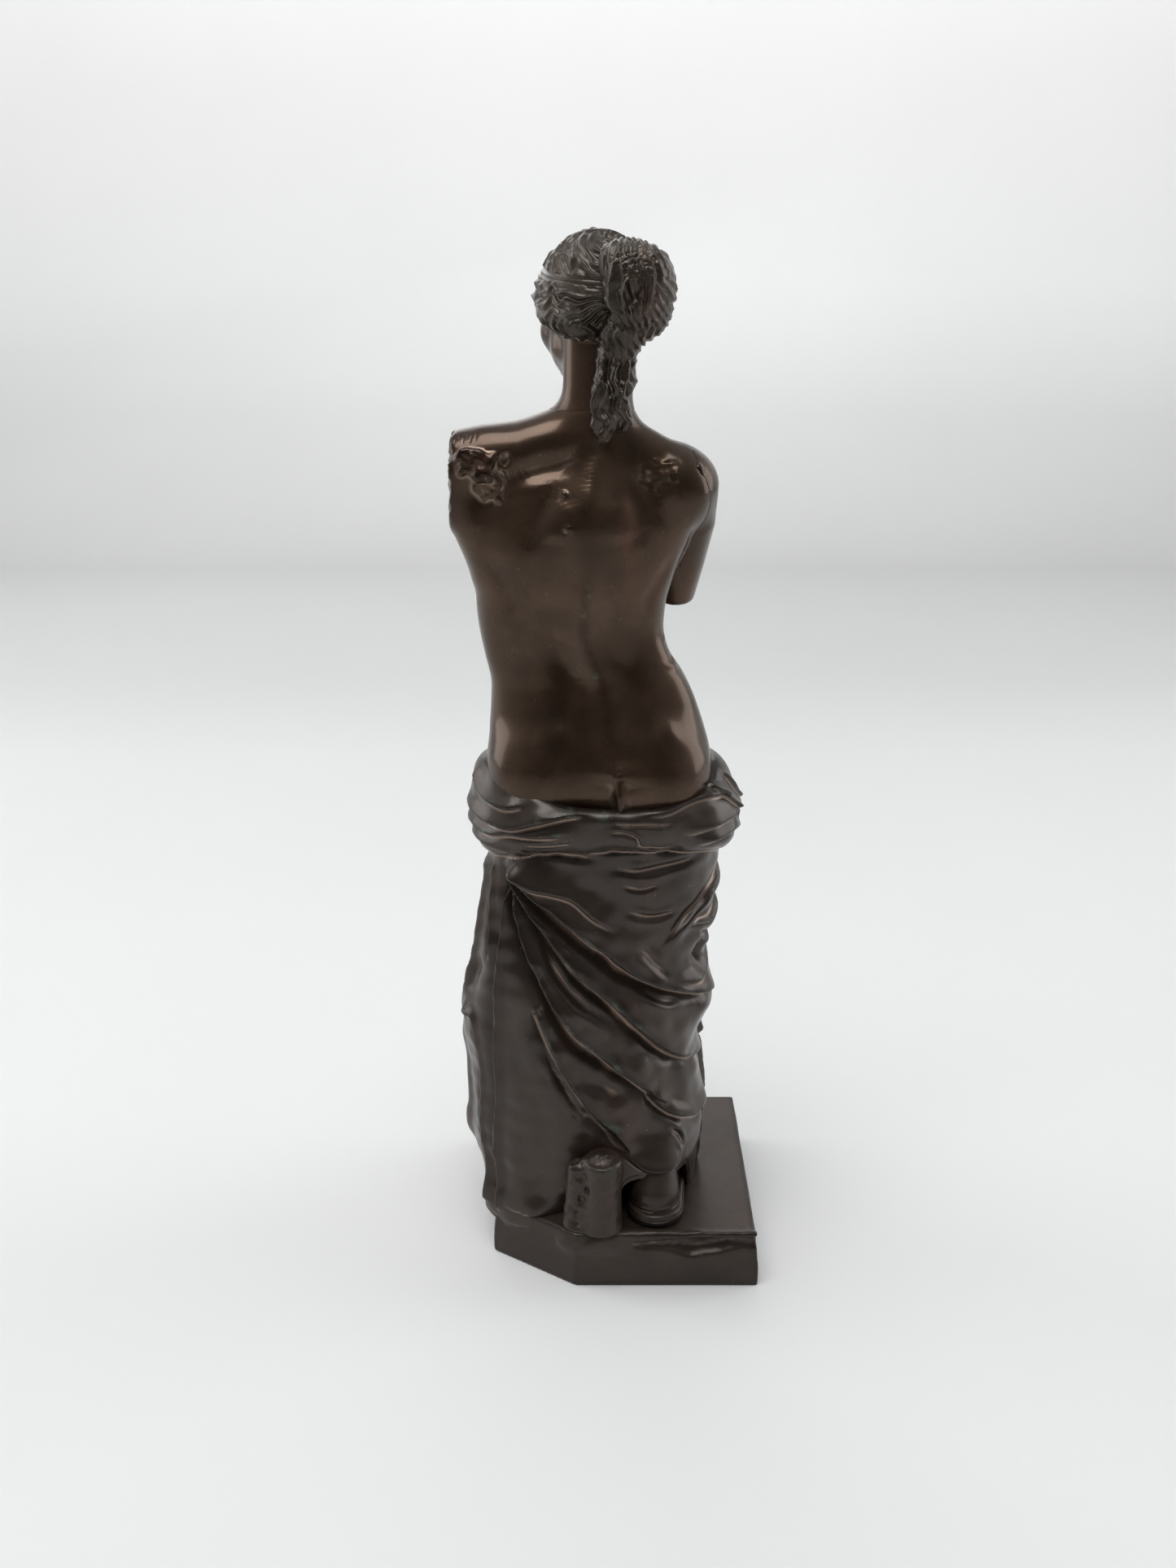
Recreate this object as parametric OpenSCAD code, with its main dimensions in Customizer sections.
// Bronze statuette: a standing draped figure on a low plinth, cast in sections.
// +X is the figure's left, -Y the way it faces, +Z up, origin under the middle of the whole piece.

/* [Figure] */
// Height of the figure above the plinth's top
figure_h = 282; // [235:1:340]
// Wall of the hollow castings
wall = 3.2; // [2.6:0.1:3.9]

/* [Plinth] */
// Width of the plinth, side to side
plinth_w = 80.9; // [67:0.1:98]
// Depth of the plinth, front to back
plinth_d = 77; // [64:0.5:93]
// Height of the plinth
plinth_h = 18; // [15:0.5:22]
// Wall of the plinth's sides
plinth_wall = 3.5; // [2.9:0.1:4.2]
// Thickness of the plinth's top plate
plinth_top = 4; // [3.2:0.1:4.8]

/* [Fixings] */
// Diameter of the studs under the figure
stud_d = 5; // [4:0.1:6]
// Thickness of the stud nuts
nut_h = 4; // [3.2:0.1:4.8]
// Diameter of the pins across the sleeve joints
pin_d = 2.4; // [1.9:0.1:2.9]
// Diameter of the screws under the foot and the post
screw_d = 3; // [2.4:0.1:3.6]
// Diameter of the plugs in the core-pin holes
plug_d = 2.4; // [1.9:0.1:2.9]

/* [Sleeve joints] */
// Depth of the torso's sleeve in the drapery
waist_sleeve = 18; // [15:0.5:21.6]
// Diameter of the head's spigot in the neck
neck_spigot_d = 9.6; // [8:0.1:11.5]
// Length of the head's spigot
neck_spigot_l = 9; // [7.5:0.5:10.8]
// Diameter of the arm's spigot in the shoulder
arm_spigot_d = 6.4; // [5.3:0.1:7.7]
// Length of the arm's spigot
arm_spigot_l = 8; // [6.5:0.5:9.6]

/* [Post] */
// Diameter of the short post behind the heel
post_d = 10.4; // [8.6:0.1:12.5]
// Height of the post above the plinth's top
post_h = 27; // [22:0.5:33]

/* [Hidden] */
$fn = 48;

bronze = [0.23, 0.17, 0.13];
brass = [0.62, 0.48, 0.24];
steel = [0.42, 0.41, 0.40];
fit = 0.05;            // radial room round a pin, stud, screw or spigot
seat_gap = 0.15;       // room round the torso's sleeve in its socket
flush = 2.4;           // room past the end of a spigot, stud or screw
pin_sink = 3.8;        // how far a pin's or rivet's end stays under the surface
plug_sink = 1.7;       // how far a plug's face stays under the surface

ref_h = 282;           // figure height that the stations below are written for
s = figure_h / ref_h;
deck = plinth_h;       // top face of the plinth

around = 36;           // points in one ring of a loft
per_span = 2;          // rings between two stations
squareness = 0.92;     // under 1 makes a ring fuller than an ellipse

// A station is [height above the deck, centre x, centre y, half width, depth to the front, depth to the back].
// Depth is along Y; x and y are measured from the figure's own axis.
rim_z = 131.5;         // top edge of the drapery
drapery_stations = [
    [0, 17, 0, 25, 30, 27], [17, 17, 0, 26, 31, 27], [27, 8, 0, 36, 32, 27],
    [58, 8, 0, 37.5, 33, 26.5], [82, 5.5, 1, 35, 29, 25.5], [106, 2, 2, 35.5, 26, 24.5],
    [117, 1.7, 3, 38, 25.5, 25.5], [124, 1.1, 3, 39, 25.5, 26], [129.5, 2, 3, 37, 24, 24.5],
    [rim_z, 2, 3.5, 35, 22.8, 24]];
sleeve = [2, 4, 31, 19, 20.5];
torso_stations = [
    [134, 2, 4, 31, 19.2, 20.6], [142, 2.4, 4, 31, 20.5, 21], [152, 3.4, 4, 30.3, 20.5, 19.5],
    [162, 5, 4, 28, 18.5, 16.5], [172, 9, 3.5, 25.9, 16.8, 14.5], [182, 11, 3.5, 26.3, 17.5, 15],
    [194, 10, 3.5, 28, 19.5, 16.3], [203, 9.5, 3.5, 29.5, 18.5, 17], [212, 7.5, 3.5, 35, 15, 16.5],
    [220, 7, 3, 36, 11.5, 14.5], [225, 9, 3, 34, 9.5, 12.5], [229.5, 12.5, 3, 28, 8.5, 10],
    [232, 6, 2.5, 15, 8, 8.5], [235, 1.6, 2, 9, 7.5, 8]];
head_stations = [
    [235, 1.6, 2, 9, 7.5, 8], [243, 1.4, 1, 8.6, 8, 8.5], [248, 2, -1, 11, 13, 10],
    [255, 2.6, -1, 15, 15.5, 12], [265, 3, -1, 16.6, 16, 15], [272, 3, -1, 15.4, 14.5, 14.4],
    [278, 3, -1, 11.5, 11, 11], [281, 3, -1, 6.5, 6, 6], [ref_h, 3, -1, 2, 2, 2]];
chignon_stations = [
    [226, -1, 17.5, 3.2, 1.6, 1.8], [232, -1.2, 15, 4.8, 3, 2.4], [244, -1.2, 14, 5.2, 3, 3],
    [252, -2.4, 14, 6, 6, 4.6], [261, -6, 16, 8.6, 8, 8.4], [269, -7, 16.5, 8.8, 9, 9],
    [275, -6.6, 15.5, 6.6, 8, 7], [278, -6, 14.5, 2.4, 3, 2.6]];
arm_stations = [
    [182, -20.3, -11, 5.6, 6, 6], [190, -21.6, -8.5, 6, 7, 7], [200, -23.8, -5, 5.6, 7.5, 8],
    [210, -22, -1, 7.4, 9.5, 9], [218, -21.5, 1, 7.8, 9.5, 10], [224, -20.5, 2, 7, 8.5, 9.5],
    [227, -19.8, 2.5, 4.6, 6, 7], [228.5, -19.6, 2.5, 2, 3, 3.5]];
foot_stations = [
    [0, -18, 8, 7.2, 24, 25], [3, -18, 8, 7.4, 24, 25.5], [7, -18, 8.5, 6.8, 20, 24],
    [12, -17.8, 11, 5.8, 13, 19.5], [19, -17.6, 15, 5, 7, 12.5]];

seat_z = rim_z - waist_sleeve / s;  // ledge that the torso's sleeve stands on
chest_z = 203;            // top of the torso's cavity
neck_z = 235;             // joint between neck and head
head_cavity = [250, 264]; // heights between which the head's cavity is full width
head_cavity_d = 18;
head_roof = 8;            // height of the cavity's cone
vent_d = 4;               // way from the head's cavity down through its spigot
arm_seat_x = -19.5;       // flat seat of the arm on the shoulder
arm_seat_z = 198;         // lowest point of that seat
arm_spigot_at = [1.5, 216];   // y and z of the arm's spigot
hair_seat_y = 11;         // flat seat of the chignon on the back of the head
hair_seat_z = 246;        // lowest point of that seat
lower_cavity = [10, 104]; // heights of the drapery's cavity

waist_pin_x = [-12, 16];  // pins across the waist joint, at the front and at the back
waist_pin_z = 122;
neck_pin_z = 230.5;
rivet_at = [[-8, 263], [-9, 271]];
torso_plug_at = [[12, 217], [11, 208]];
drapery_plug_at = [[22, 44], [-9, 84]];
pin_grip = 4.5;            // depth of a pin, rivet or plug past the wall it crosses
stud_at = [[20, 9], [-3, 7], [10, -14]];
boss_h = 12;              // height of the bosses that hold the studs
boss_over = 3;            // metal round a stud in its boss, on each side
core_hole_at = [25, -10];
core_hole_d = 14;         // hole in the drapery's floor, where the core was shaken out
washer_h = 1;
washer_over = 1.6;        // how far a washer reaches past its nut's corners
stud_end = 1.2;           // thread that shows past the nut
thread_in = 8;            // depth of a screw in the foot or the post
screw_head_h = 2.4;
foot_screw_at = [-18, 6];
screw_clear = 0.4;        // room between a screw's head and the plinth's wall

chamfer = [25.6, 16.5];   // corner that is cut off the plinth, along X and along Y
plinth_mid_x = -5;        // middle of the plinth, from the figure's axis
post_inset = 0.5;         // how far the post stands back from the plinth's rear face
post_gap = 0.6;           // room between the post and the drapery
post_x = 1.2;
snag = [8.5, 6, 22];     // width, depth and height of the broken lump beside the post

// --- lofts ---------------------------------------------------------------

// Catmull-Rom spline through four stations, t from 0 to 1 between b and c.
function spline(a, b, c, d, t) =
    0.5 * (2 * b + (c - a) * t + (2 * a - 5 * b + 4 * c - d) * t * t
           + (3 * b - a - 3 * c + d) * t * t * t);

function refined(st) = concat(
    [for (i = [0 : len(st) - 2], k = [0 : per_span - 1])
        spline(st[max(i - 1, 0)], st[i], st[i + 1], st[min(i + 2, len(st) - 1)], k / per_span)],
    [st[len(st) - 1]]);

function power(v) = sign(v) * pow(abs(v), squareness);

// One ring of a loft, thinned all round by t.
function ring(q, t = 0) = [for (i = [0 : around - 1])
    let (a = 360 * i / around, c = power(cos(a)), n = power(sin(a)))
    [s * q[1] + (s * q[3] - t) * c,
     s * q[2] + (s * (n > 0 ? q[5] : q[4]) - t) * n,
     deck + s * q[0]]];

function side(from, to, flip) = [for (i = [0 : around - 1])
    let (j = (i + 1) % around)
    for (f = [[from + i, to + i, to + j], [from + i, to + j, from + j]])
        flip ? f : [f[0], f[2], f[1]]];

function cap(from, flip) = [flip ? [for (i = [0 : around - 1]) from + i]
                                 : [for (i = [around - 1 : -1 : 0]) from + i]];

// Closed solid through a list of rings that rise.
module loft(rings) {
    last = len(rings) - 1;
    polyhedron(
        points = [for (r = rings) each r],
        faces = concat(cap(0, true),
                       [for (k = [0 : last - 1]) each side(k * around, (k + 1) * around, true)],
                       cap(last * around, false)));
}

// Hollow casting, closed at its first ring and open at its last.
// The rings rise if up is true and fall if it is false.
module cup(outer, inner, up) {
    n = len(outer);
    m = len(inner);
    polyhedron(
        points = concat([for (r = outer) each r], [for (r = inner) each r]),
        faces = concat(
            cap(0, up),
            [for (k = [0 : n - 2]) each side(k * around, (k + 1) * around, up)],
            side((n - 1) * around, (n + m - 1) * around, up),
            [for (k = [0 : m - 2]) each side((n + k + 1) * around, (n + k) * around, up)],
            cap(n * around, !up)));
}

function reversed(list) = [for (i = [len(list) - 1 : -1 : 0]) list[i]];

// Rod along Y between two depths, and along X between two sides.
module rod_y(d, from, to) translate([0, from, 0]) rotate([-90, 0, 0]) cylinder(d = d, h = to - from);
module rod_x(d, from, to) translate([from, 0, 0]) rotate([0, 90, 0]) cylinder(d = d, h = to - from);

function loosely(d) = d + 2 * fit;
function lofted(st, t = 0) = [for (q = refined(st)) ring(q, t)];
function level(z, section, t = 0) = ring(concat([z], section), t);

// --- places --------------------------------------------------------------

left = plinth_mid_x + plinth_w / 2;
right = plinth_mid_x - plinth_w / 2;
back = plinth_d / 2;
post_y = back - post_inset - post_d / 2;
drapery_back = s * drapery_stations[0][5];
figure_y = post_y - post_d / 2 - post_gap - drapery_back;
plate_z = deck - plinth_top;    // underside of the plinth's top plate

module on_plinth() translate([0, figure_y, 0]) children();
module at(p, z = 0) translate([s * p[0], s * p[1], z]) children();
module high(x, z) translate([s * x, 0, deck + s * z]) children();
module each_stud() on_plinth() for (p = stud_at) at(p) children();
module foot_screw_place() on_plinth() at(foot_screw_at) children();
module post_place() translate([post_x, post_y, 0]) children();

// The post's screw is set in far enough for its head to clear the plinth's wall.
post_screw_y = min(post_y, back - plinth_wall - screw_d - screw_clear);
module post_screw_place() translate([post_x, post_screw_y, 0]) children();

// Place along Y of a loft's rear or front face, at a height and a distance from the middle.
function section_at(st, z) = [for (q = refined(st)) if (q[0] >= z) q][0];
function bulge(q, x) = pow(1 - pow(abs(x - q[1]) / q[3], 2 / squareness), squareness / 2);
function rear(st, x, z) = let (q = section_at(st, z)) s * (q[2] + q[5] * bulge(q, x));
function front(st, x, z) = let (q = section_at(st, z)) s * (q[2] - q[4] * bulge(q, x));

// --- plinth and what is under it -------------------------------------------

plinth_outline = [[right, -back], [left, -back], [left, back - chamfer[1]],
                  [left - chamfer[0], back], [right, back]];

function unit(v) = v / norm(v);
function normal(a, b) = let (d = unit(b - a)) [-d[1], d[0]];

// Outline of a convex polygon moved in by t on every side.
function inset(p, t) = let (n = len(p)) [for (i = [0 : n - 1])
    let (a = normal(p[(i + n - 1) % n], p[i]), b = normal(p[i], p[(i + 1) % n]))
    p[i] + (a + b) * t / (1 + a * b)];

module plinth() color(bronze) difference() {
    linear_extrude(deck) polygon(plinth_outline);
    translate([0, 0, -1]) linear_extrude(plate_z + 1) polygon(inset(plinth_outline, plinth_wall));
    each_stud() cylinder(d = loosely(stud_d), h = deck + 1);
    foot_screw_place() cylinder(d = loosely(screw_d), h = deck + 1);
    post_screw_place() cylinder(d = loosely(screw_d), h = deck + 1);
}

nut_across = 1.8 * stud_d;      // across the nut's corners
nut_top = plate_z - washer_h;
stud_top = deck + boss_h - wall;

module base_studs() color(steel) each_stud()
    translate([0, 0, nut_top - nut_h - stud_end])
        cylinder(d = stud_d, h = stud_top - nut_top + nut_h + stud_end);

module base_washers() color(steel) each_stud() translate([0, 0, nut_top]) difference() {
    cylinder(d = nut_across + 2 * washer_over, h = washer_h);
    translate([0, 0, -1]) cylinder(d = loosely(stud_d), h = washer_h + 2);
}

module base_nuts() color(brass) each_stud() translate([0, 0, nut_top - nut_h]) difference() {
    cylinder(d = nut_across, h = nut_h, $fn = 6);
    translate([0, 0, -1]) cylinder(d = loosely(stud_d), h = nut_h + 2);
}

module cheese_screw() {
    translate([0, 0, plate_z - screw_head_h]) cylinder(d = 2 * screw_d, h = screw_head_h);
    translate([0, 0, plate_z]) cylinder(d = screw_d, h = plinth_top + thread_in);
}

module screw_hole() translate([0, 0, deck - 1])
    cylinder(d = loosely(screw_d), h = thread_in + 1 + flush);

module foot_screw() color(steel) foot_screw_place() cheese_screw();
module post_screw() color(steel) post_screw_place() cheese_screw();

module back_post() color(bronze) difference() {
    union() {
        post_place() translate([0, 0, deck]) cylinder(d = post_d, h = post_h);
        post_place() translate([post_d / 2, 0, deck]) hull() {
            translate([-1, -snag[1] / 2, 0]) cube([snag[0] - 2, snag[1], 1]);
            translate([-1, -snag[1] / 3, snag[2]]) cube([snag[0] / 2, snag[1] / 2, 1]);
        }
    }
    post_screw_place() screw_hole();
}

module right_foot() color(bronze) difference() {
    on_plinth() loft(lofted(foot_stations));
    foot_screw_place() screw_hole();
}

// --- figure --------------------------------------------------------------

floor_top = deck + s * lower_cavity[0];

module drapery() color(bronze) difference() {
    union() {
        on_plinth() cup(
            lofted(drapery_stations),
            concat(
                [for (q = refined(drapery_stations))
                    if (q[0] > lower_cavity[0] && q[0] < lower_cavity[1]) ring(q, wall)],
                [level(seat_z, sleeve, 2 * wall), level(seat_z, sleeve, -seat_gap),
                 level(rim_z, sleeve, -seat_gap)]),
            true);
        each_stud() translate([0, 0, deck + 1])
            cylinder(d = stud_d + 2 * boss_over, h = boss_h - 1);
    }
    each_stud() translate([0, 0, deck - 1])
        cylinder(d = loosely(stud_d), h = stud_top - deck + 1 + flush);
    on_plinth() at(core_hole_at, deck - 1) cylinder(d = core_hole_d, h = 2 * floor_top);
    each_waist_pin(loosely(pin_d));
    each_drapery_plug(loosely(plug_d));
}

torso_sleeve = [concat([seat_z], sleeve), concat([rim_z], sleeve)];

// Pins cross the drapery's rim and the sleeve, two at the front and two at the back.
module each_waist_pin(d) on_plinth() for (x = waist_pin_x) high(x, waist_pin_z) {
    rod_y(d, rear(torso_sleeve, x, waist_pin_z) - wall - flush,
          rear(drapery_stations, x, waist_pin_z) - pin_sink);
    rod_y(d, front(drapery_stations, x, waist_pin_z) + pin_sink,
          front(torso_sleeve, x, waist_pin_z) + wall + flush);
}

module waist_pins() color(brass) each_waist_pin(pin_d);

module each_drapery_plug(d) on_plinth() for (p = drapery_plug_at) high(p[0], p[1])
    rod_y(d, rear(drapery_stations, p[0], p[1]) - pin_grip, rear(drapery_stations, p[0], p[1]) - plug_sink);
module drapery_plugs() color(brass) each_drapery_plug(plug_d);

module torso() color(bronze) difference() {
    on_plinth() cup(
        reversed(concat([level(seat_z, sleeve), level(rim_z, sleeve)], lofted(torso_stations))),
        reversed(concat(
            [level(seat_z, sleeve, wall), level(rim_z, sleeve, wall)],
            [for (q = refined(torso_stations)) if (q[0] < chest_z) ring(q, wall)])),
        false);
    on_plinth() high(arm_seat_x, arm_seat_z) translate([-50, -50, 0]) cube([50, 100, 50]);
    on_plinth() arm_spigot(loosely(arm_spigot_d), flush);
    on_plinth() neck_place() translate([0, 0, -neck_spigot_l - flush])
        cylinder(d = loosely(neck_spigot_d), h = neck_spigot_l + flush + 1);
    each_waist_pin(loosely(pin_d));
    neck_pin_rod(loosely(pin_d));
    arm_pin_rod(loosely(pin_d));
    each_torso_plug(loosely(plug_d));
}

module each_torso_plug(d) on_plinth() for (p = torso_plug_at) high(p[0], p[1])
    rod_y(d, rear(torso_stations, p[0], p[1]) - pin_grip, rear(torso_stations, p[0], p[1]) - plug_sink);
module torso_plugs() color(brass) each_torso_plug(plug_d);

module neck_place() translate([s * head_stations[0][1], s * head_stations[0][2], deck + s * neck_z])
    children();

module head() color(bronze) difference() {
    on_plinth() union() {
        loft(lofted(head_stations));
        neck_place() translate([0, 0, -neck_spigot_l]) cylinder(d = neck_spigot_d, h = neck_spigot_l + 1);
    }
    on_plinth() neck_place() {
        translate([0, 0, -neck_spigot_l - 1])
            cylinder(d = vent_d, h = s * (head_cavity[0] - neck_z) + neck_spigot_l + 2);
        translate([0, 0, s * (head_cavity[0] - neck_z)]) {
            cylinder(d = head_cavity_d, h = s * (head_cavity[1] - head_cavity[0]));
            translate([0, 0, s * (head_cavity[1] - head_cavity[0])])
                cylinder(d1 = head_cavity_d, d2 = vent_d, h = head_roof);
        }
    }
    on_plinth() translate([-50, s * hair_seat_y, deck + s * hair_seat_z]) cube([100, 50, 50]);
    neck_pin_rod(loosely(pin_d));
    each_rivet(loosely(pin_d));
}

// Pin from the back of the neck through the head's spigot.
module neck_pin_rod(d) on_plinth() high(head_stations[0][1], neck_pin_z)
    rod_y(d, s * head_stations[0][2] - neck_spigot_d / 2,
          rear(torso_stations, head_stations[0][1], neck_pin_z) - pin_sink);
module neck_pin() color(brass) neck_pin_rod(pin_d);

module chignon() color(bronze) difference() {
    on_plinth() loft(lofted(chignon_stations));
    on_plinth() translate([-50, s * hair_seat_y - 50, deck + s * hair_seat_z - 50])
        cube([100, 50, 100]);
    each_rivet(loosely(pin_d));
}

// Rivets from the back of the chignon into the head.
module each_rivet(d) on_plinth() for (p = rivet_at) high(p[0], p[1])
    rod_y(d, s * hair_seat_y - pin_grip / 2, rear(chignon_stations, p[0], p[1]) - pin_sink);
module chignon_rivets() color(brass) each_rivet(pin_d);

module arm_spigot(d, extra) translate([0, s * arm_spigot_at[0], deck + s * arm_spigot_at[1]])
    rod_x(d, s * arm_seat_x - 1, s * arm_seat_x + arm_spigot_l + extra);

module right_arm() color(bronze) difference() {
    on_plinth() union() {
        difference() {
            loft(lofted(arm_stations));
            translate([s * arm_seat_x, -50, deck + s * arm_seat_z]) cube([50, 100, 50]);
        }
        arm_spigot(arm_spigot_d, 0);
    }
    arm_pin_rod(loosely(pin_d));
}

// Pin from the back of the shoulder through the arm's spigot.
arm_pin_x = arm_seat_x + arm_spigot_l / 2;
module arm_pin_rod(d) on_plinth() high(arm_pin_x, arm_spigot_at[1])
    rod_y(d, s * arm_spigot_at[0] - arm_spigot_d / 2,
          rear(torso_stations, arm_pin_x, arm_spigot_at[1]) - pin_sink);
module arm_pin() color(brass) arm_pin_rod(pin_d);

plinth();
drapery();
torso();
head();
chignon();
right_arm();
right_foot();
back_post();
waist_pins();
neck_pin();
arm_pin();
chignon_rivets();
base_studs();
base_washers();
base_nuts();
foot_screw();
post_screw();
torso_plugs();
drapery_plugs();
